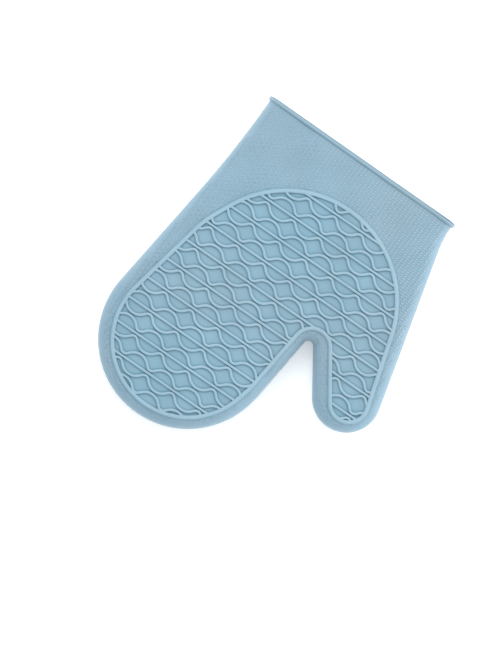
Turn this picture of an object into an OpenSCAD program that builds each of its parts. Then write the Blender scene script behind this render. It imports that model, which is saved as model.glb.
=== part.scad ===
// Moulded silicone oven mitt, lying flat on its back with the palm side up.
// X runs across the hand (thumb at -X), Y from the mouth to the fingertips, Z up.
// Two half shells meet at mid-thickness. Each carries half of the cuff lip and a raised grip
// pattern outside, and standoff ribs inside. Both sides are alike, so it fits either hand.

/* [Body] */
// Length from the mouth to the fingertips
mitt_l = 279.5; // [250:0.5:310]
// Thickness of the two shells together, without the raised pattern
body_t = 24; // [20:1:30]
// Wall thickness of a shell
wall = 1.6; // [1.2:0.1:2.5]
// How far the rounded edge reaches in from the side
edge_r = 8; // [6:0.5:9]

/* [Cuff lip] */
// Width of the lip along the hand
lip_w = 3.6; // [3:0.1:4.4]
// Height of the lip above the faces
lip_h = 1.2; // [0.8:0.1:2]
// How far the lip stands out at the two sides
lip_ear = 2.2; // [1:0.1:3]

/* [Grip pattern] */
// Height of the rim and ribs above the face
relief = 1.5; // [0.8:0.1:2]
// Width of the rim round the pattern
rim_w = 3.3; // [2.5:0.1:4]
// Width of a straight rib
rib_w = 2.2; // [1.6:0.1:2.4]
// Width of a wave rib
wave_w = 2.3; // [1.6:0.1:2.4]
// Distance between straight ribs
row_pitch = 21.8; // [21.4:0.1:22.4]
// Length of one wave
wave_pitch = 26.2; // [26:0.1:27]
// Tilt of the pattern against the mouth, in degrees
grip_tilt = 0.6; // [0:0.1:1]

/* [Inner ribs] */
// Height of the standoff ribs inside
inner_h = 0.8; // [0.6:0.1:1.5]
// Width of a standoff rib
inner_w = 1.6; // [1.2:0.1:3]
// Distance between standoff ribs
inner_pitch = 9.5; // [8:0.5:14]

/* [Hidden] */

blue = [0.60, 0.72, 0.79];
light_blue = [0.66, 0.77, 0.83];

half_t = body_t / 2;
parting_z = relief + half_t;      // height of the parting plane over the resting face
edge_steps = 6;                   // rings in the rounded edge
inner_start = 12;                 // distance of the standoff ribs from the mouth
inner_margin = 4;                 // and from the rounded edge

// Outlines are belts run round circles [x, y, radius], with Y from the mouth, drawn for a
// mitt 279.5 long. A positive radius is a bend round the inside, a negative one a bend
// round the outside, and a radius of 0 ends an open belt.
size = mitt_l / 279.5;
cuff_hi = 102.8 * size;           // X of the cuff below the little finger
cuff_lo = -80.3 * size;           // X of the cuff below the thumb
cuff_straight = 5;                // length of the straight stretch under the lip
little_finger_side = 845;         // bend where the cuff widens into the palm
thumb_side = 78;                  // and where it widens into the thumb
OUTLINE = [[cuff_hi, 0, 0],
           [cuff_hi + little_finger_side, cuff_straight, -little_finger_side],
           size * [45, 205, 74.5], size * [67, 197.5, 97.5],
           size * [-39.8, 152.5, -4.5], size * [-91, 169.5, 28.5],
           [cuff_lo - thumb_side, cuff_straight, -thumb_side],
           [cuff_lo, 0, 0]];
RIM = size * [[43.5, 206.5, 62.5], [59.5, 194, 81], [-42.5, 152, -16],
              [-94.5, 172, 15.5], [-3.5, 133, 91.5], [5.5, 144, 88]];

// The waves lie on both sides of each straight rib. Row 1 is the first inside the rim.
row_start = 28.3;                 // Y of row 0
row_count = ceil((mitt_l - row_start) / row_pitch);
wave_start = 3.5;                 // X where the waves are closest to the straight ribs
wave_count = 6;                   // waves on each side of that
wave_low = 2.65;                  // distance of a wave from its rib at the closest point
wave_high = 9.35;                 // and at the widest point
low_bend = 4;                     // radius of a wave at the closest point
high_bend = 11.5;                 // and at the widest point

// Angle of the normal, to the left of the belt, on the straight from circle a to circle b
function normal_angle(a, b) =
    let (d = [b[0] - a[0], b[1] - a[1]]) atan2(d[1], d[0]) + acos((b[2] - a[2]) / norm(d));

function wrap(angle) = angle - 360 * floor(angle / 360);

function on_circle(c, angle, inset) = [c[0], c[1]] - (c[2] - inset) * [cos(angle), sin(angle)];

// Points on the bend round circle c, as the normal turns from angle a to angle b. A step is
// at most turn degrees and run millimetres. Belts at all insets have the same points.
function bend(c, a, b, inset, turn, run) =
    let (sweep = c[2] > 0 ? wrap(b - a) : -wrap(a - b),
         length = abs(c[2] * sweep) * PI / 180,
         steps = max(1, ceil(max(abs(sweep) / turn, length / run))))
    [for (i = [0 : steps]) on_circle(c, a + sweep * i / steps, inset)];

// A belt round the circles, moved to its left by inset
function belt(circles, inset = 0, closed = false, turn = 9, run = 12) =
    let (count = len(circles),
         n = [for (i = [0 : count - 1]) normal_angle(circles[i], circles[(i + 1) % count])])
    [for (i = [0 : count - 1]) each
        closed ? bend(circles[i], n[(i + count - 1) % count], n[i], inset, turn, run) :
        i == 0 ? [on_circle(circles[0], n[0], inset)] :
        i == count - 1 ? [on_circle(circles[i], n[i - 1], inset)] :
        bend(circles[i], n[i - 1], n[i], inset, turn, run)];

function reversed(points) = [for (i = [len(points) - 1 : -1 : 0]) points[i]];

// Moves the mouth from Y = 0 to its place half a length from the origin
module from_mouth() {
    translate([0, -mitt_l / 2]) children();
}

// One skin of a half shell, as rings from the parting plane to the face
function skin(inset, height, reach) =
    [for (i = [0 : edge_steps]) let (a = 90 * i / edge_steps)
        [for (p = belt(OUTLINE, inset + reach * (1 - cos(a)))) [p[0], p[1], height * sin(a)]]];

// Half shell above the parting plane, open at the mouth and at that plane
module half_shell() {
    outer = skin(0, half_t, edge_r);
    inner = skin(wall, half_t - wall, edge_r - wall);
    count = len(outer[0]);
    n = (edge_steps + 1) * count;     // first point of the inner skin
    top = n - count;                  // first point of the outer skin's last ring
    last = count - 1;
    side = [for (r = [0 : edge_steps - 1]) for (i = [0 : count - 2]) r * count + i];
    faces = concat(
        [for (a = side) [a, a + count, a + count + 1, a + 1]],
        [for (a = side) [n + a, n + a + 1, n + a + count + 1, n + a + count]],
        [[for (i = [last : -1 : 0]) top + i], [for (i = [0 : last]) n + top + i]],
        [for (i = [0 : count - 2]) [i, i + 1, n + i + 1, n + i]],
        [for (r = [0 : edge_steps - 1]) let (a = r * count)
            [a + count, a, n + a, n + a + count]],
        [for (r = [0 : edge_steps - 1]) let (a = r * count + last)
            [a, a + count, n + a + count, n + a]],
        [[top + last, top, n + top, n + top + last]]);
    from_mouth() polyhedron([for (ring = concat(outer, inner)) each ring], faces, convexity = 8);
}

// The upper half of the mouth's cross-section, grown by side in X and by face in Z
function mouth_section(side, face) =
    let (steps = 2 * edge_steps, reach = edge_r + side, height = half_t + face,
         corner = [for (i = [0 : steps]) let (a = 90 * i / steps)
             [side - reach * (1 - cos(a)), height * sin(a)]])
    concat([for (p = corner) [cuff_hi + p[0], p[1]]],
           [for (p = reversed(corner)) [cuff_lo - p[0], p[1]]]);

module half_lip() {
    from_mouth() translate([0, lip_w, 0]) rotate([90, 0, 0]) linear_extrude(lip_w)
        polygon(concat(mouth_section(lip_ear, lip_h), reversed(mouth_section(0, 0))));
}

module raised() {
    translate([0, 0, half_t]) linear_extrude(relief) from_mouth() children();
}

module rim_area(inset) {
    polygon(belt(RIM, inset, true));
}

module half_rim() {
    raised() difference() {
        rim_area(-rim_w / 2);
        rim_area(rim_w / 2);
    }
}

module row(i) {
    translate([wave_start, row_start + i * row_pitch]) rotate(grip_tilt) children();
}

module wave_rib() {
    far_x = (wave_count + 1) * wave_pitch;
    circles = concat([[-far_x, wave_low, 0]],
        [for (i = [-wave_count : wave_count - 1]) each [
            [i * wave_pitch, wave_low + low_bend, low_bend],
            [(i + 0.5) * wave_pitch, wave_high - high_bend, -high_bend]]],
        [[far_x, wave_low, 0]]);
    polygon(concat(belt(circles, wave_w / 2, turn = 20),
                   reversed(belt(circles, -wave_w / 2, turn = 20))));
}

module half_straight_ribs() {
    raised() intersection() {
        for (i = [1 : row_count - 2]) row(i) square([2 * mitt_l, rib_w], center = true);
        rim_area(rim_w / 2);
    }
}

module half_wave_ribs() {
    raised() intersection() {
        for (i = [0 : row_count - 1]) row(i) {
            wave_rib();
            mirror([0, 1]) wave_rib();
        }
        rim_area(rim_w / 2);
    }
}

module half_inner_ribs() {
    count = ceil(mitt_l / 2 / inner_pitch);
    translate([0, 0, half_t - wall - inner_h]) linear_extrude(inner_h) from_mouth()
        intersection() {
            for (i = [-count : count])
                translate([i * inner_pitch - inner_w / 2, inner_start]) square([inner_w, mitt_l]);
            polygon(belt(OUTLINE, edge_r + inner_margin));
        }
}

// The palm half lies on top of the parting plane, and the back half below it
module palm_side() {
    translate([0, 0, parting_z]) children();
}

module back_side() {
    translate([0, 0, parting_z]) mirror([0, 0, 1]) children();
}

module palm_shell() { color(blue) palm_side() half_shell(); }
module back_shell() { color(blue) back_side() half_shell(); }
module palm_cuff_lip() { color(light_blue) palm_side() half_lip(); }
module back_cuff_lip() { color(light_blue) back_side() half_lip(); }
module palm_grip_rim() { color(light_blue) palm_side() half_rim(); }
module back_grip_rim() { color(light_blue) back_side() half_rim(); }
module palm_straight_ribs() { color(light_blue) palm_side() half_straight_ribs(); }
module back_straight_ribs() { color(light_blue) back_side() half_straight_ribs(); }
module palm_wave_ribs() { color(light_blue) palm_side() half_wave_ribs(); }
module back_wave_ribs() { color(light_blue) back_side() half_wave_ribs(); }
module palm_inner_ribs() { color(blue) palm_side() half_inner_ribs(); }
module back_inner_ribs() { color(blue) back_side() half_inner_ribs(); }

palm_shell();
back_shell();
palm_cuff_lip();
back_cuff_lip();
palm_grip_rim();
back_grip_rim();
palm_straight_ribs();
back_straight_ribs();
palm_wave_ribs();
back_wave_ribs();
palm_inner_ribs();
back_inner_ribs();
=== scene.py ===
"""Looks of a moulded silicone oven mitt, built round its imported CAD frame.

The mitt lies on its back, palm up. Its lengths are millimetres, measured from the mouth
(y = 0) up to the fingertips; place() moves them into the frame's metres.
"""
import math

import bmesh
import bpy
import numpy as np
from mathutils import Matrix, Vector
from mathutils.geometry import delaunay_2d_cdt


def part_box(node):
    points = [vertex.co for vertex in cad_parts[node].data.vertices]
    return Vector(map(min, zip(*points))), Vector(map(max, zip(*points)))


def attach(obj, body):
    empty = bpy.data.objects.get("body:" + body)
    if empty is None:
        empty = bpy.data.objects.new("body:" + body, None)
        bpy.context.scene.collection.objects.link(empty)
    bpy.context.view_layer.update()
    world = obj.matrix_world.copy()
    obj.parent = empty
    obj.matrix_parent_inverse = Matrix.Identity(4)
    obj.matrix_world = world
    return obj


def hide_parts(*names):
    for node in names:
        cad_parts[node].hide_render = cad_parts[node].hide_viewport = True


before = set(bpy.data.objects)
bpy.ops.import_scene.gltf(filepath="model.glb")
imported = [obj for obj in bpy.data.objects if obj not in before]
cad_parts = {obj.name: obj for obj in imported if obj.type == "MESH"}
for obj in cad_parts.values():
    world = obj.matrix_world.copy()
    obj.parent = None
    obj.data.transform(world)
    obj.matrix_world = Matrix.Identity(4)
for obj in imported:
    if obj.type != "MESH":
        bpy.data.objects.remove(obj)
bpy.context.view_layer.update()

MM = 0.001
SAME_PLACE = 1e-6       # mm: points nearer than this are one
DISTANCE_BLOCK = 4000   # points that distance() works on at a time

# ---------------------------------------------------------------- sizes from the frame

shell_lo, shell_hi = (Vector(corner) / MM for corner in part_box("palm_shell"))
rim_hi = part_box("palm_grip_rim")[1][2] / MM
lip_lo, lip_hi = (Vector(corner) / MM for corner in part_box("palm_cuff_lip"))
inner_lo, inner_hi = (Vector(corner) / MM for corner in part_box("palm_inner_ribs"))

MOUTH_Y = shell_lo.y                    # where the mouth is in the frame
LENGTH = shell_hi.y - shell_lo.y        # mouth to fingertips
PARTING_Z = shell_lo.z                  # height of the plane where the two shells meet
HALF_T = shell_hi.z - shell_lo.z        # thickness of one half shell
RELIEF = rim_hi - shell_hi.z            # height of the grip pattern
LIP_W = lip_hi.y - lip_lo.y
LIP_H = lip_hi.z - shell_hi.z
INNER_H = inner_hi.z - inner_lo.z
WALL = shell_hi.z - inner_hi.z

# ---------------------------------------------------------------- outlines

# Belts run round circles (x, y, radius). A positive radius is a bend round the inside, a
# negative one a bend round the outside, and a radius of 0 ends an open belt.
CUFF_HI, CUFF_LO = 102.8, -80.3
EDGE_R = 8
OUTLINE = [(CUFF_HI, 0, 0), (CUFF_HI + 845, 5, -845),     # cuff on the little finger's side
           (45, 205, 74.5), (67, 197.5, 97.5),            # fingertips, first finger
           (-39.8, 152.5, -4.5), (-91, 169.5, 28.5),      # notch, thumb tip
           (CUFF_LO - 78, 5, -78), (CUFF_LO, 0, 0)]       # cuff on the thumb's side
RIM = [(43.5, 206.5, 62.5), (59.5, 194, 81),              # fingertips, first finger
       (-42.5, 152, -16), (-94.5, 172, 15.5),             # notch, thumb tip
       (-3.5, 133, 91.5), (5.5, 144, 88)]                 # heel of the hand, both sides


def normal_angle(a, b):
    """Angle of the normal, to the left of the belt, on the straight from circle a to b."""
    dx, dy = b[0] - a[0], b[1] - a[1]
    return math.atan2(dy, dx) + math.acos((b[2] - a[2]) / math.hypot(dx, dy))


def bend(circle, start, end, turn, run):
    """Points and normals on the bend round a circle, as the normal turns from start to end.
    No step turns more than turn degrees or runs further than run."""
    x, y, r = circle
    swept = (end - start) % math.tau if r > 0 else -((start - end) % math.tau)
    steps = max(1, math.ceil(max(abs(swept) / math.radians(turn), abs(r * swept) / run)))
    angles = start + swept * np.arange(steps + 1) / steps
    normals = np.stack([np.cos(angles), np.sin(angles)], 1)
    return np.array([x, y]) - r * normals, normals


def belt(circles, closed=False, turn=4, run=2.5):
    """Points along a belt and its normals, which point to its left. Straights are divided
    too, so that an even row of stations results."""
    count = len(circles)
    angle = [normal_angle(circles[i], circles[(i + 1) % count]) for i in range(count)]
    parts = []
    for i, circle in enumerate(circles):
        if closed or 0 < i < count - 1:
            parts.append(bend(circle, angle[i - 1], angle[i], turn, run))
        else:
            n = angle[0] if i == 0 else angle[i - 1]
            parts.append((np.array([circle[:2]], float), np.array([[math.cos(n), math.sin(n)]])))
    corners = np.concatenate([p for p, _ in parts])
    normals = np.concatenate([n for _, n in parts])
    if closed:
        corners = np.concatenate([corners, corners[:1]])
        normals = np.concatenate([normals, normals[:1]])
    points, facing = [], []
    for i in range(len(corners) - 1):
        gap = np.linalg.norm(corners[i + 1] - corners[i])
        if gap < SAME_PLACE:
            continue
        t = np.arange(math.ceil(gap / run)) / math.ceil(gap / run)
        points.append(corners[i] + t[:, None] * (corners[i + 1] - corners[i]))
        blend = normals[i] + t[:, None] * (normals[i + 1] - normals[i])
        facing.append(blend / np.linalg.norm(blend, axis=1, keepdims=True))
    if not closed:
        points.append(corners[-1:])
        facing.append(normals[-1:])
    return np.concatenate(points), np.concatenate(facing)


def inside(points, polygon):
    """Whether each point lies inside a polygon."""
    x, y = points[:, 0, None], points[:, 1, None]
    x0, y0 = polygon[:, 0], polygon[:, 1]
    x1, y1 = np.roll(x0, -1), np.roll(y0, -1)
    crosses = (y0 > y) != (y1 > y)
    rise = np.where(y1 == y0, 1, y1 - y0)
    return (crosses & (x < x0 + (y - y0) * (x1 - x0) / rise)).sum(1) % 2 == 1


def distance(points, line):
    """Distance of each point from a polyline."""
    a, d = line[:-1], line[1:] - line[:-1]
    length2 = (d ** 2).sum(1)
    result = []
    for block in np.array_split(points, max(1, len(points) // DISTANCE_BLOCK)):
        rel = block[:, None] - a
        t = np.clip((rel * d).sum(2) / length2, 0, 1)
        result.append(np.linalg.norm(rel - t[..., None] * d, axis=2).min(1))
    return np.concatenate(result)


outline, outline_normal = belt(OUTLINE)
rim, rim_normal = belt(RIM, closed=True, run=2)

# ---------------------------------------------------------------- the soft shape of the faces

CROWN = 1.4         # how much the palm face stands higher in its middle
CROWN_REACH = 30    # distance from the edge over which it rises
MOUTH_SAG = 1.2     # how much the palm side sinks at the middle of the mouth
SAG_REACH = 45      # how far up the hand it sinks
LIP_DIP = 0.8       # the shallow hollow behind the lip
DIP_PLACE = 5       # its distance from the mouth
DIP_REACH = 6       # and how far it spreads
# Slow unevenness: (height, waves per mm across and along the hand, phase)
WAVES = [(0.35, 0.021, 0.011, 0.6), (0.25, -0.013, 0.027, 2.1), (0.18, 0.037, -0.019, 4.0)]


def dress(points, depth, side):
    """How far the soft palm side stands above its flat shape, depth from the outline."""
    x, y = points[:, 0], points[:, 1]
    if side < 0:
        return 0 * x
    rise = CROWN * (1 - np.exp(-depth / CROWN_REACH)) ** 2
    middle = (CUFF_HI + CUFF_LO) / 2
    across = np.clip(1 - ((x - middle) / (CUFF_HI - middle)) ** 2, 0, 1)
    rise -= MOUTH_SAG * across * np.exp(-(y / SAG_REACH) ** 2)
    rise -= LIP_DIP * np.exp(-((y - DIP_PLACE) / DIP_REACH) ** 2)
    for height, kx, ky, phase in WAVES:
        rise += height * np.sin(x * kx * math.tau + y * ky * math.tau + phase) * (depth > 0)
    return rise


def edge_height(depth, reach, height):
    """Height of the rounded edge over the parting plane, depth in from the side."""
    k = np.clip(1 - depth / reach, 0, 1)
    return height * np.sqrt(1 - k ** 2)


def face(points, side, sunk=0.0):
    """Height of the outer face over the parting plane at each point."""
    depth = distance(points, outline)
    soft = dress(points, depth, side)
    height = edge_height(depth, EDGE_R, HALF_T)
    return height + soft * height / HALF_T - sunk


def place(points, height, side):
    """Points over the mouth and heights over the parting plane, in the frame's metres."""
    return np.column_stack([points[:, 0], points[:, 1] + MOUTH_Y, PARTING_Z + side * height]) * MM


# ---------------------------------------------------------------- mesh making

WELD = 2e-6             # metres: vertices nearer than this are joined


def piece(name, vertices, faces, material, node=None, painted_shading=None, kinds=None):
    """A visible piece that rides on the mitt, and stands for a CAD node if node names one.
    The materials read painted_shading, which is 1 on top of moulded detail, 0 at its foot and
    less where the colour is deeper still: a painted highlight on tops, painted shade at feet
    and edges. kinds says which material each face has."""
    mesh = bpy.data.meshes.new(name)
    mesh.from_pydata([tuple(v) for v in vertices], [], faces)
    materials = material if isinstance(material, list) else [material]
    for m in materials:
        mesh.materials.append(m)
    if painted_shading is not None:
        layer = mesh.attributes.new("painted_shading", "FLOAT", "POINT")
        layer.data.foreach_set("value", np.asarray(painted_shading, np.float32))
    if kinds is not None:
        mesh.polygons.foreach_set("material_index", kinds)
    mesh.polygons.foreach_set("use_smooth", [True] * len(mesh.polygons))
    close_up(mesh)
    obj = bpy.data.objects.new(name, mesh)
    bpy.context.collection.objects.link(obj)
    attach(obj, "root")
    if node:
        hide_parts(node)
    return obj


def close_up(mesh):
    """Joins vertices at one place, and turns the faces of the closed mesh outwards."""
    b = bmesh.new()
    b.from_mesh(mesh)
    bmesh.ops.remove_doubles(b, verts=b.verts, dist=WELD)
    bmesh.ops.recalc_face_normals(b, faces=b.faces)
    b.to_mesh(mesh)
    b.free()


def strip(rows, columns, first=0, wrap_rows=False, wrap_columns=False):
    """Quads between the rows and columns of a grid of vertices."""
    return [(first + i * columns + j, first + i * columns + (j + 1) % columns,
             first + (i + 1) % rows * columns + (j + 1) % columns, first + (i + 1) % rows * columns + j)
            for i in range(rows if wrap_rows else rows - 1)
            for j in range(columns if wrap_columns else columns - 1)]


def sweep(points, normals, profile, side, base, closed=False):
    """A moulded rib along points. profile is (offset to the left, height over the base),
    round its section, and base gives the height under each vertex."""
    offsets = np.array([p[0] for p in profile])
    heights = np.array([p[1] for p in profile])
    spots = (points[:, None] + offsets[:, None] * normals[:, None]).reshape(-1, 2)
    level = base(spots) + np.tile(heights, len(points))
    count = len(profile)
    faces = strip(len(points), count, wrap_rows=closed, wrap_columns=True)
    if not closed:
        faces += [tuple(range(count)), tuple((len(points) - 1) * count + i for i in range(count))]
    # Painted shading: the rib's colour lightens towards its top as a painted highlight, and keeps the
    # base colour at its foot as painted shade.
    painted_shading = np.tile(np.clip(heights / max(heights), 0, 1), len(points))
    return place(spots, level, side), faces, painted_shading


def join(parts):
    """Several sets of vertices, faces and painted shading values as one."""
    vertices, faces, painted_shadings, first = [], [], [], 0
    for points, polygons, shading_values in parts:
        vertices.append(points)
        painted_shadings.append(shading_values)
        faces += [tuple(first + i for i in polygon) for polygon in polygons]
        first += len(points)
    return np.concatenate(vertices), faces, np.concatenate(painted_shadings)


ROOT_DEPTH = 0.4        # a rib goes this far into the face, so that no gap shows
SIDE_LEAN = 0.1         # its sides lean inwards by this much
TOP_CROWN = 0.04        # the middle of its top stands this much over its shoulders
FILLET_BEND = 0.2, 0.6  # out from its side and up, where the fillet bends, per its reach
SHOULDER_STEPS = 3


def rib_profile(width, height, round_off=0.35, foot=0.12, outer_foot=None):
    """Section of a flat rib with rounded shoulders, steep sides and a fillet at the foot,
    which can reach further out on its outer side."""
    x, y = width / 2, height
    angles = np.linspace(0, math.pi / 2, SHOULDER_STEPS + 1)
    shoulder = [(x - SIDE_LEAN - round_off * (1 - math.cos(a)),
                 y - TOP_CROWN - round_off * (1 - math.sin(a))) for a in angles]

    def flank(reach):
        fillet = [(x + reach, 0), (x + reach * FILLET_BEND[0], reach * FILLET_BEND[1])]
        return [(x + reach, -ROOT_DEPTH)] + fillet + shoulder

    return flank(foot) + [(0, y)] + [(-u, v) for u, v in reversed(flank(outer_foot or foot))]


# ---------------------------------------------------------------- materials

# What all the silicone has in common: a little light goes in, and a faint bloom lies on it.
SILICONE = {"Subsurface Weight": 0.12, "Subsurface Radius": (0.6, 0.8, 1.0),
            "Subsurface Scale": 0.003, "Specular IOR Level": 0.25,
            "Sheen Weight": 0.14, "Sheen Roughness": 0.35}
# Each noise is (patches per metre, detail), and each range its lowest and highest effect.
VALUE_NOISE, VALUE_RANGE = (14, 3), (0.97, 1.03)
SATURATION_NOISE, SATURATION_RANGE = (9, 2), (0.94, 1.06)
SHINE_NOISE, SHINE_RANGE = (60, 3), (-0.04, 0.05)
TOOTH_NOISE = 2600, 2
TOOTH_HEIGHT = 0.0001           # metres
TOOTH_STRENGTH = 0.25
# Painted shade in crevices: where a wall is near, the colour is darkened and deepened, as shade falls
# there.
CREVICE_REACH = 0.0022          # metres: how near a wall has to be to darken a crevice
CREVICE_OPEN = 0.35, 0.95       # from deep in a crevice to out of it, as open share of the sky
CREVICE_SHADE_SATURATION = 1.3
CREVICE_SAMPLES = 12


def set_inputs(node, values):
    """Sets a node's unlinked sockets by name."""
    for socket, value in values.items():
        node.inputs[socket].default_value = value


def silicone(name, base, light, grain, rough, crevice_shade):
    """Moulded silicone: matt, slightly translucent, with fine tooth. Its colour goes from
    base to light up moulded detail, a painted highlight on tops and painted shade at feet,
    and is darker by the factor crevice_shade in deep crevices, as painted shade."""
    m = bpy.data.materials.new(name)
    m.use_nodes = True
    nodes, links = m.node_tree.nodes, m.node_tree.links
    shader = nodes["Principled BSDF"]
    set_inputs(shader, SILICONE)
    spot = nodes.new("ShaderNodeTexCoord")

    def noise(scale, detail):
        """Noise over the mitt, which mostly lies between 0.3 and 0.7."""
        n = nodes.new("ShaderNodeTexNoise")
        set_inputs(n, {"Scale": scale, "Detail": detail})
        links.new(spot.outputs["Object"], n.inputs["Vector"])
        return n.outputs["Fac"]

    def spread(value, low, high, start=0.3, end=0.7):
        """Goes from low to high as value goes from start to end."""
        r = nodes.new("ShaderNodeMapRange")
        set_inputs(r, {"From Min": start, "From Max": end, "To Min": low, "To Max": high})
        links.new(value, r.inputs["Value"])
        return r.outputs["Result"]

    # painted_shading mixes base towards light, a painted highlight on tops of moulded detail; below 0
    # it goes past base, painted shade deeper still.
    painted_shading = nodes.new("ShaderNodeAttribute")
    painted_shading.attribute_name = "painted_shading"
    ramp = nodes.new("ShaderNodeMix")
    ramp.data_type = "RGBA"
    ramp.clamp_factor = False
    set_inputs(ramp, {"A": (*base, 1), "B": (*light, 1)})
    links.new(painted_shading.outputs["Fac"], ramp.inputs["Factor"])
    tint = nodes.new("ShaderNodeHueSaturation")
    links.new(ramp.outputs["Result"], tint.inputs["Color"])
    links.new(spread(noise(*VALUE_NOISE), *VALUE_RANGE), tint.inputs["Value"])
    links.new(spread(noise(*SATURATION_NOISE), *SATURATION_RANGE), tint.inputs["Saturation"])
    hidden = nodes.new("ShaderNodeAmbientOcclusion")
    hidden.samples = CREVICE_SAMPLES
    hidden.inputs["Distance"].default_value = CREVICE_REACH
    sky_seen = hidden.outputs["AO"]
    shade = nodes.new("ShaderNodeHueSaturation")
    links.new(tint.outputs["Color"], shade.inputs["Color"])
    links.new(spread(sky_seen, crevice_shade, 1, *CREVICE_OPEN), shade.inputs["Value"])
    links.new(spread(sky_seen, CREVICE_SHADE_SATURATION, 1, *CREVICE_OPEN), shade.inputs["Saturation"])
    links.new(shade.outputs["Color"], shader.inputs["Base Color"])
    shine = spread(noise(*SHINE_NOISE), rough + SHINE_RANGE[0], rough + SHINE_RANGE[1])
    links.new(shine, shader.inputs["Roughness"])
    tooth = nodes.new("ShaderNodeBump")
    set_inputs(tooth, {"Strength": TOOTH_STRENGTH * grain, "Distance": TOOTH_HEIGHT})
    links.new(noise(*TOOTH_NOISE), tooth.inputs["Height"])
    links.new(tooth.outputs["Normal"], shader.inputs["Normal"])
    return m


# Each: name, base and light colour (light up moulded detail, a painted highlight), grain,
# roughness, crevice_shade (painted shade in crevices). The grip's base is deeper than the
# panel's, painted shade at the feet of its ribs.
FIELD = silicone("silicone_field", (0.240, 0.366, 0.454), (0.342, 0.494, 0.590), 1, 0.5, 0.72)
PANEL = silicone("silicone_panel", (0.230, 0.374, 0.464), (0.230, 0.374, 0.464), 0.7, 0.5, 0.64)
GRIP = silicone("silicone_grip", (0.190, 0.312, 0.392), (0.287, 0.426, 0.510), 0.7, 0.46, 0.64)
LIP = silicone("silicone_lip", (0.210, 0.318, 0.390), (0.286, 0.412, 0.486), 0.7, 0.5, 0.82)
INSIDE = silicone("silicone_inside", (0.193, 0.311, 0.395), (0.218, 0.336, 0.420), 1.3, 0.62, 0.5)

# ---------------------------------------------------------------- shells

PARTING_BEAD = [(-0.22, 0), (-0.16, 0.22), (0, 0.45)]   # (inset, height) of the moulding line
BEAD_END = 1.1                                          # height where the round side takes over
MOUTH_STEPS = 40                                        # divisions of the mouth's straight part
RING_STEPS = 17                                         # rings from the parting plane to a face
OUTER_SPACING, INNER_SPACING = 4, 7                     # of the triangle nets on the faces
ROW_SHARE = 0.866                                       # of the spacing, from row to row of a net
LOOP_GAP = 0.6                                          # of the spacing, from a net to its loops
INSIDE_LOOPS, SNAP = 1, 1e-5                            # the triangulation's mode and tolerance
SKIN_KIND, PANEL_KIND, LINING_KIND = 0, 1, 2            # places in half_shell's materials


def edge_profile(inset, height, reach, first, steps):
    """(inset, height) up the rounded edge, from the height first to the face."""
    angles = np.linspace(math.asin(first / height), math.pi / 2, steps)
    return [(inset + reach * (1 - math.cos(a)), height * math.sin(a)) for a in angles]


def skin(profile, side):
    """Points and heights of the rings of one skin of a half shell."""
    rings = []
    for inset, height in profile:
        points = outline + inset * outline_normal
        points[:, 1] = np.maximum(points[:, 1], 0)
        points[[0, -1], 1] = 0
        soft = dress(points, np.full(len(points), max(inset, 0.0)), side)
        rings.append((points, height + soft * height / HALF_T))
    return rings


def fill_face(ring, spacing, line=None):
    """A triangle net inside a ring of points, with edges along a closed line inside it."""
    loops = [ring] if line is None else [ring, line]
    edges, first = [], 0
    for loop in loops:
        edges += [(first + i, first + (i + 1) % len(loop)) for i in range(len(loop))]
        first += len(loop)
    lo, hi = ring.min(0), ring.max(0)
    rows = enumerate(np.arange(lo[1], hi[1], spacing * ROW_SHARE))
    grid = np.array([(x + spacing / 2 * (k % 2), y)
                     for k, y in rows for x in np.arange(lo[0], hi[0], spacing)])
    keep = inside(grid, ring)
    for loop in loops:
        keep &= distance(grid, np.concatenate([loop, loop[:1]])) > spacing * LOOP_GAP
    every = [Vector(p) for p in np.concatenate([*loops, grid[keep]])]
    out = delaunay_2d_cdt(every, edges, [tuple(range(len(ring)))], INSIDE_LOOPS, SNAP)
    return np.array([tuple(v) for v in out[0]]), [tuple(f) for f in out[2]]


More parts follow.
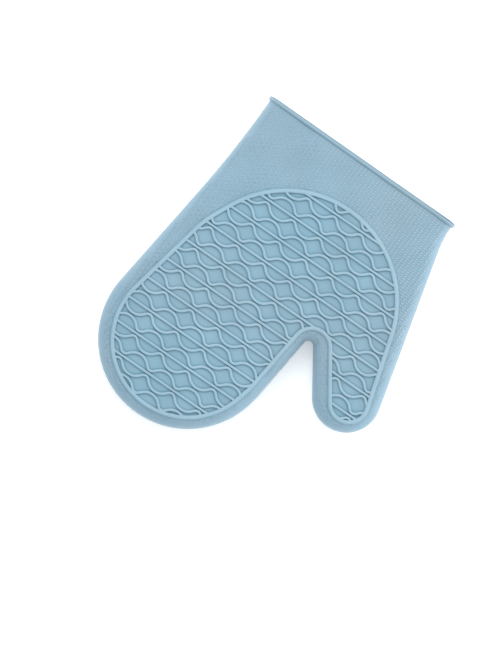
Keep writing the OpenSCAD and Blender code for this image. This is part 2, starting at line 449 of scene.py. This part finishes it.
def half_shell(name, node, side):
    """A closed half shell: outer and inner skin, parting face and mouth edge."""
    side_steps = RING_STEPS - len(PARTING_BEAD)
    outer = PARTING_BEAD + edge_profile(0, HALF_T, EDGE_R, BEAD_END, side_steps)
    inner = edge_profile(WALL, HALF_T - WALL, EDGE_R - WALL, 0, RING_STEPS)
    columns = len(outline)
    vertices, faces, kinds, mouths, total = [], [], [], [], 0
    for profile, thickness, spacing, line in ((outer, HALF_T, OUTER_SPACING, rim),
                                              (inner, HALF_T - WALL, INNER_SPACING, None)):
        rings = skin(profile, side)
        vertices += [place(points, heights, side) for points, heights in rings]
        faces += strip(RING_STEPS, columns, total)
        kind = LINING_KIND if line is None else SKIN_KIND
        kinds += [kind] * (len(faces) - len(kinds))
        edge = rings[-1][0]
        across = np.linspace(edge[-1, 0], edge[0, 0], MOUTH_STEPS + 1)[1:-1]
        mouth = np.column_stack([across, np.zeros(len(across))])
        spots, net = fill_face(np.concatenate([edge, mouth]), spacing, line)
        soft = dress(spots, distance(spots, outline), side)
        first_net = total + RING_STEPS * columns
        vertices.append(place(spots, thickness * (1 + soft / HALF_T), side))
        faces += [tuple(first_net + i for i in f) for f in net]
        centres = np.array([spots[list(f)].mean(0) for f in net])
        in_panel = (line is not None) & inside(centres, rim)
        kinds += [PANEL_KIND if panel else kind for panel in in_panel]
        first_mouth = first_net + len(spots)
        mouth_soft = dress(mouth, distance(mouth, outline), side)
        vertices.append(place(mouth, thickness * (1 + mouth_soft / HALF_T), side))
        ring_ids = [total + r * columns for r in range(RING_STEPS)]
        mouths.append([i + columns - 1 for i in ring_ids]
                      + [first_mouth + i for i in range(len(mouth))] + ring_ids[::-1])
        total = first_mouth + len(mouth)
    inner_first = mouths[1][0] - columns + 1
    faces += [(i, i + 1, inner_first + i + 1, inner_first + i) for i in range(columns - 1)]
    faces += [(mouths[0][i], mouths[0][i + 1], mouths[1][i + 1], mouths[1][i])
              for i in range(len(mouths[0]) - 1)]
    kinds += [SKIN_KIND] * (len(faces) - len(kinds))
    return piece(name, np.concatenate(vertices), faces, [FIELD, PANEL, INSIDE], node,
                 kinds=kinds)


# ---------------------------------------------------------------- grip pattern

RIM_WIDTH, STRAIGHT_WIDTH, WAVE_WIDTH = 3.3, 2.2, 2.3
ROW_START, ROW_PITCH = 28.3, 21.8                       # first row, outside the rim
ROW_COUNT = math.ceil((LENGTH - ROW_START) / ROW_PITCH)
GRIP_TILT = math.radians(0.6)
WAVE_START, WAVE_PITCH, WAVE_COUNT = 3.5, 26.2, 6
WAVE_LOW, WAVE_HIGH = 2.65, 9.35                        # nearest and widest from its rib
LOW_BEND, HIGH_BEND = 4, 11.5                           # radii there
WAVE_TURN, WAVE_RUN = 12, 0.9                           # degrees and length of a step at most
STRAIGHT_REACH, STRAIGHT_RUN = 160, 2.0                 # half its length, and its steps
RIB_DROP = 0.05                                         # ribs end under the top of the rim
RIM_ROUND, RIM_OUTER_FOOT = 0.7, 1.1                    # its shoulders, and its outer fillet
CUT_HALVINGS = 10                                       # for the place where a rib meets the rim


def row_place(points, normals, row):
    """Moves points and normals of a rib to its row of the pattern."""
    c, s = math.cos(GRIP_TILT), math.sin(GRIP_TILT)
    turn = np.array([[c, s], [-s, c]])
    return points @ turn + [WAVE_START, ROW_START + row * ROW_PITCH], normals @ turn


def runs_inside(points, normals, polygon):
    """The stretches of a line inside a polygon, each cut exactly at the polygon's edge."""
    keep = inside(points, polygon)
    starts = np.flatnonzero(keep & ~np.roll(keep, 1))
    ends = np.flatnonzero(keep & ~np.roll(keep, -1))
    for start, end in zip(starts, ends):
        run, facing = points[start:end + 1], normals[start:end + 1]
        cuts = []
        for within, beyond in ((start, start - 1), (end, (end + 1) % len(points))):
            a, b = points[within], points[beyond]
            for _ in range(CUT_HALVINGS):
                middle = (a + b) / 2
                a, b = (middle, b) if inside(middle[None], polygon)[0] else (a, middle)
            cuts.append(a)
        yield (np.concatenate([cuts[:1], run, cuts[1:]]),
               np.concatenate([facing[:1], facing, facing[-1:]]))


def ribs(name, node, side, lines, width):
    """Rounded ribs along lines, cut off under the rim."""
    profile = rib_profile(width, RELIEF - RIB_DROP)
    parts = [sweep(p, n, profile, side, lambda spots: face(spots, side))
             for line in lines for p, n in runs_inside(*line, rim)]
    vertices, faces, painted_shading = join(parts)
    return piece(name, vertices, faces, GRIP, node, painted_shading=painted_shading)


def straight_lines():
    """The straight rib of each row. The first and last rows have none, because it would lie
    outside the rim or nearly on it."""
    x = np.arange(-STRAIGHT_REACH, STRAIGHT_REACH + 1, STRAIGHT_RUN)
    line = np.column_stack([x, 0 * x]), np.column_stack([0 * x, 0 * x + 1])
    return [row_place(*line, row) for row in range(1, ROW_COUNT - 1)]


def wave_lines():
    """The waves of each row: one over its middle line and its mirror image under it."""
    circles = [(-(WAVE_COUNT + 1) * WAVE_PITCH, WAVE_LOW, 0)]
    for i in range(-WAVE_COUNT, WAVE_COUNT):
        circles.append((i * WAVE_PITCH, WAVE_LOW + LOW_BEND, LOW_BEND))
        circles.append(((i + 0.5) * WAVE_PITCH, WAVE_HIGH - HIGH_BEND, -HIGH_BEND))
    circles.append(((WAVE_COUNT + 1) * WAVE_PITCH, WAVE_LOW, 0))
    points, normals = belt(circles, turn=WAVE_TURN, run=WAVE_RUN)
    flip = np.array([1, -1])
    return [row_place(points * f, normals * f, row) for row in range(ROW_COUNT) for f in (1, flip)]


def grip_rim(name, node, side):
    """The closed rim round the pattern, with softer shoulders than the ribs."""
    profile = rib_profile(RIM_WIDTH, RELIEF, RIM_ROUND, outer_foot=RIM_OUTER_FOOT)
    vertices, faces, painted_shading = sweep(rim, rim_normal, profile, side,
                                   lambda spots: face(spots, side), closed=True)
    return piece(name, vertices, faces, GRIP, node, painted_shading=painted_shading)


# ---------------------------------------------------------------- cuff lip

LIP_EAR = lip_hi.x - CUFF_HI            # how far the lip stands out at the sides
# (distance from the mouth, height over the wall). Heights are shares of the lip's height, and
# those below 0 are shares of WALL * LIP_TUCK.
LIP_PROFILE = [(2.4, -0.9), (0.7, -1.35), (0.2, -1.1), (0.0, -0.5), (0.02, 0.3), (0.2, 0.68),
               (0.5, 0.86), (0.9, 0.97), (1.5, 1.0), (2.3, 0.96), (2.9, 0.8), (3.3, 0.5),
               (3.65, 0.2), (4.1, 0.04), (4.2, -0.3)]
LIP_TUCK = 0.9
LIP_CORNER_STEPS = 24
# Painted shade along its outer edge, where the mouth opens into shadow: how deep it is at the thumb's
# corner, 25 mm further, and opposite
LIP_EDGE_SHADE = 2.2, 0.5, 0.35
LIP_EDGE_SHADE_PLACES = CUFF_LO, CUFF_LO + 25, CUFF_HI
LIP_EDGE_WIDTH = 1                      # how much of it counts as that edge


def half_lip(name, node, side):
    """Half of the rounded bead round the mouth, which also covers the edge of the wall."""
    angles = np.linspace(0, math.pi / 2, LIP_CORNER_STEPS)
    inset, height = EDGE_R * (1 - np.cos(angles)), HALF_T * np.sin(angles)
    out = np.column_stack([np.cos(angles) * HALF_T, np.sin(angles) * EDGE_R])
    out /= np.linalg.norm(out, axis=1, keepdims=True)
    middle = np.linspace(CUFF_HI - EDGE_R, CUFF_LO + EDGE_R, MOUTH_STEPS + 1)[1:-1]
    flat = np.column_stack([middle, np.full(len(middle), HALF_T)])
    path = np.concatenate([np.column_stack([CUFF_HI - inset, height]), flat,
                           np.column_stack([CUFF_LO + inset, height])[::-1]])
    facing = np.concatenate([out, np.tile([0.0, 1.0], (len(flat), 1)), (out * [-1, 1])[::-1]])
    ear = LIP_H + (LIP_EAR - LIP_H) * facing[:, 0] ** 2
    rows = []
    for along, rise in LIP_PROFILE:
        lift = np.where(rise > 0, rise * ear, rise * WALL * LIP_TUCK)
        spots = path + facing * lift[:, None]
        flat_spots = np.column_stack([spots[:, 0], np.full(len(spots), along)])
        on_face = np.column_stack([path[:, 0], np.zeros(len(path))])
        soft = dress(on_face, distance(on_face, outline), side)
        rows.append(place(flat_spots, spots[:, 1] + soft * path[:, 1] / HALF_T, side))
    count = len(LIP_PROFILE)
    vertices = np.stack(rows, 1).reshape(-1, 3)
    faces = strip(len(path), count, wrap_columns=True)
    faces += [tuple(range(count)), tuple((len(path) - 1) * count + i for i in range(count))]
    # Painted highlight up the bead, and painted shade along its outer edge, deepest at the thumb's
    # corner.
    painted_shading = np.tile([max(0.0, rise) for _, rise in LIP_PROFILE], (len(path), 1))
    edge = [along < LIP_EDGE_WIDTH for along, _ in LIP_PROFILE]
    painted_shading[:, edge] = -np.interp(path[:, :1], LIP_EDGE_SHADE_PLACES, LIP_EDGE_SHADE)
    return piece(name, vertices, faces, LIP, node, painted_shading=painted_shading.ravel())


# ---------------------------------------------------------------- net texture of the field

NET_X, NET_Y = 3.525, 2.17      # half the width and height of a mesh of the net
GRAIN = (1.9, 0.75, 0.32)       # half the length, half the width and the height of a strand
# A strand swells at its middle: (share of the length, share of the width, share of the height)
GRAIN_RINGS = [(1.0, 0.5, -0.2), (0.66, 0.9, 0.25), (0.38, 0.6, 0.85), (0, 0, 1.0)]
GRAIN_SIDES = 8
# Painted highlight on the strands: a strand's colour lightens up its height by the power
# HIGHLIGHT_POWER, and below LEAST_GRAIN of strength only this painted highlight fades further, not its
# height.
LEAST_GRAIN = 0.5               # lowest share of its height, where only its colour fades on
LEAST_TRACE = 0.3               # the net fades no further than this at its edge
HIGHLIGHT_POWER = 1.5                   # power by which a strand's colour falls off with its height
LIP_GAP, RIM_GAP = 1.3, 3       # the net stays this far from the lip and the rim's middle
PALING = 100, 165               # distances from the mouth between which it pales
PALE = 1, 0.4                   # its strength at these
NET_EDGE = 3, 5                 # and its least distance from the side
NET_SIDES = -60, 90             # x at the thumb's side and at the opposite one
NET_FADE = 1.5, 5.5             # width over which it fades out there
NET_STRENGTH = 1, 0.65          # and its strength


def grains(middle, heading, strength, side):
    """Low strands on a face: vertices, faces and painted shading. A weak strand is lower and has less
    painted highlight on its top.
    """
    n = GRAIN_SIDES
    angles = np.arange(n) * math.tau / n
    share = np.concatenate([np.stack([a * np.cos(angles), w * np.sin(angles)], 1)[:n if a else 1]
                            for a, w, _ in GRAIN_RINGS])
    lift = np.concatenate([np.full(n if a else 1, z) for a, _, z in GRAIN_RINGS])
    along = np.stack([np.cos(heading), np.sin(heading)], 1)
    across = np.stack([-along[:, 1], along[:, 0]], 1)
    spots = (middle[:, None] + along[:, None] * share[:, :1] * GRAIN[0]
             + across[:, None] * share[:, 1:] * GRAIN[1]).reshape(-1, 2)
    tip = len(share) - 1
    one = strip(len(GRAIN_RINGS) - 1, n, wrap_columns=True)
    one += [(tip - n + k, tip - n + (k + 1) % n, tip) for k in range(n)] + [tuple(range(n))]
    faces = [tuple(i * len(share) + k for k in f) for i in range(len(middle)) for f in one]
    height = np.maximum(strength, LEAST_GRAIN) * GRAIN[2]
    level = face(spots, side) + (height[:, None] * lift).ravel()
    # Painted highlight: lighter towards the strand's top, scaled by its strength.
    painted_shading = strength[:, None] * np.maximum(lift, 0) ** HIGHLIGHT_POWER
    return place(spots, level, side), faces, painted_shading.ravel()


def net(name, side):
    """The fine moulded net, whose strands slant left and right by turns."""
    lo, hi = outline.min(0), outline.max(0)
    columns = np.arange(math.floor(lo[0] / NET_X), math.ceil(hi[0] / NET_X))
    rows = np.arange(0, math.ceil(hi[1] / NET_Y))
    i, j = (a.ravel() for a in np.meshgrid(columns, rows))
    spots = np.column_stack([(i + 0.5) * NET_X, (j + 0.5) * NET_Y])
    heading = np.where((i + j) % 2 == 0, 1, -1) * math.atan2(NET_Y, NET_X)
    depth = distance(spots, outline) - np.interp(spots[:, 1], PALING, NET_EDGE)
    keep = inside(spots, outline) & (depth > 0) & (spots[:, 1] > LIP_W + LIP_GAP)
    keep &= ~inside(spots, rim) & (distance(spots, np.concatenate([rim, rim[:1]])) > RIM_GAP)
    x, y = spots[keep].T
    strength = np.clip(depth[keep] / np.interp(x, NET_SIDES, NET_FADE), LEAST_TRACE, 1)
    strength *= np.interp(x, NET_SIDES, NET_STRENGTH) * np.interp(y, PALING, PALE)
    vertices, faces, painted_shading = grains(spots[keep], heading[keep], strength, side)
    return piece(name, vertices, faces, FIELD, painted_shading=painted_shading)


# ---------------------------------------------------------------- ribs inside

INNER_PITCH, INNER_WIDTH = 9.5, 1.3
INNER_START, INNER_RUN = 12, 4.0        # distance from the mouth, and length of a step
INNER_MARGIN = 4                        # from the start of the rounded side


def inner_ribs(name, node, side):
    """Low standoff ribs along the hand, on the inside of a face."""
    area = outline + (EDGE_R + INNER_MARGIN) * outline_normal
    area = area[area[:, 1] > INNER_START]
    # Heights go inwards here, so the painted_shading is 0 wherever a rib shows, and no painted
    # highlight lies on it.
    profile = [(u, -v) for u, v in rib_profile(INNER_WIDTH, INNER_H)]
    y = np.arange(INNER_START, LENGTH, INNER_RUN)
    facing = np.tile([-1.0, 0.0], (len(y), 1))
    first, last = (math.floor(x / INNER_PITCH) for x in (area[:, 0].min(), area[:, 0].max()))
    parts = []
    for k in range(first, last + 1):
        line = np.column_stack([0 * y + k * INNER_PITCH, y])
        for points, normals in runs_inside(line, facing, area):
            parts.append(sweep(points, normals, profile, side, lambda p: face(p, side, WALL)))
    vertices, faces, painted_shading = join(parts)
    return piece(name, vertices, faces, INSIDE, node, painted_shading=painted_shading)


# ---------------------------------------------------------------- the mitt

for label, side in (("palm", 1), ("back", -1)):
    half_shell(label + "_shell_skin", label + "_shell", side)
    half_lip(label + "_lip_bead", label + "_cuff_lip", side)
    grip_rim(label + "_rim_bead", label + "_grip_rim", side)
    ribs(label + "_straight_beads", label + "_straight_ribs", side, straight_lines(), STRAIGHT_WIDTH)
    ribs(label + "_wave_beads", label + "_wave_ribs", side, wave_lines(), WAVE_WIDTH)
    inner_ribs(label + "_inner_beads", label + "_inner_ribs", side)
    net(label + "_field_net", side)

# ---------------------------------------------------------------- floor, camera and lights

FLOOR_HALF = 3                  # half the floor's side. Lengths are metres from here on
PAPER = {"Base Color": (0.96, 0.96, 0.96, 1), "Roughness": 0.8,
         "Emission Color": (1, 1, 1, 1), "Emission Strength": 0.22}

floor_mesh = bpy.data.meshes.new("floor")
corners = [(x * FLOOR_HALF, y * FLOOR_HALF, 0) for x, y in ((-1, -1), (1, -1), (1, 1), (-1, 1))]
floor_mesh.from_pydata(corners, [], [(0, 1, 2, 3)])
floor = bpy.data.objects.new("floor", floor_mesh)
bpy.context.collection.objects.link(floor)
paper = bpy.data.materials.new("paper")
paper.use_nodes = True
set_inputs(paper.node_tree.nodes["Principled BSDF"], PAPER)
floor_mesh.materials.append(paper)

# The camera looks straight down on the palm. The hand points down and to the left in view.
VIEW_TURN = math.radians(35.05)
VIEW_HEIGHT = 0.54              # height of the view at the mitt
VIEW_CENTRE = Vector((0.0096, 0.0261, PARTING_Z * MM))
CAMERA_DISTANCE = 2.5
SENSOR = 36                     # millimetres, as the lens is
right = Vector((-math.cos(VIEW_TURN), -math.sin(VIEW_TURN), 0))
up = Vector((math.sin(VIEW_TURN), -math.cos(VIEW_TURN), 0))
camera_data = bpy.data.cameras.new("camera")
camera_data.sensor_width = SENSOR
camera_data.lens = SENSOR * CAMERA_DISTANCE / VIEW_HEIGHT
camera = bpy.data.objects.new("camera", camera_data)
camera.matrix_world = Matrix((
    (right.x, up.x, 0, VIEW_CENTRE.x),
    (right.y, up.y, 0, VIEW_CENTRE.y),
    (0, 0, 1, VIEW_CENTRE.z + CAMERA_DISTANCE),
    (0, 0, 0, 1)))
bpy.context.collection.objects.link(camera)
bpy.context.scene.camera = camera

# Each: name, place to the right, up and high as seen in view, size and power
LIGHTS = [("key", (-0.1, 1.4, 1.3), 0.9, 9),
          ("edge", (1.3, 0.1, 0.25), 0.5, 5),
          ("fill", (0.5, -0.6, 0.16), 0.3, 0.8)]


def area_light(name, spot, size, power):
    """A square light that faces the mitt."""
    data = bpy.data.lights.new(name, "AREA")
    data.shape = "SQUARE"
    data.size = size
    data.energy = power
    obj = bpy.data.objects.new(name, data)
    obj.location = VIEW_CENTRE + right * spot[0] + up * spot[1] + Vector((0, 0, spot[2]))
    obj.rotation_euler = (VIEW_CENTRE - obj.location).to_track_quat("-Z", "Y").to_euler()
    bpy.context.collection.objects.link(obj)


for light in LIGHTS:
    area_light(*light)

# A white tent round it all is brighter at the upper right of the view than at its lower left.
TENT_LEAN = up * 0.8 + right * 0.4
TENT_DIM, TENT_BRIGHT = (0.54, 0.56, 0.57, 1), (1, 1, 1, 1)
TENT_STRENGTH = 1.42

world = bpy.data.worlds.new("studio")
bpy.context.scene.world = world
world.use_nodes = True
sky, sky_links = world.node_tree.nodes, world.node_tree.links
way = sky.new("ShaderNodeTexCoord")
lean = sky.new("ShaderNodeVectorMath")
lean.operation = "DOT_PRODUCT"
lean.inputs[1].default_value = TENT_LEAN
tent = sky.new("ShaderNodeValToRGB")
tent.color_ramp.elements[0].color = TENT_DIM
tent.color_ramp.elements[1].color = TENT_BRIGHT
fraction = sky.new("ShaderNodeMapRange")
fraction.inputs["From Min"].default_value = -1
sky["Background"].inputs["Strength"].default_value = TENT_STRENGTH
sky_links.new(way.outputs["Generated"], lean.inputs[0])
sky_links.new(lean.outputs["Value"], fraction.inputs["Value"])
sky_links.new(fraction.outputs["Result"], tent.inputs["Fac"])
sky_links.new(tent.outputs["Color"], sky["Background"].inputs["Color"])
bpy.context.scene.view_settings.view_transform = "Standard"
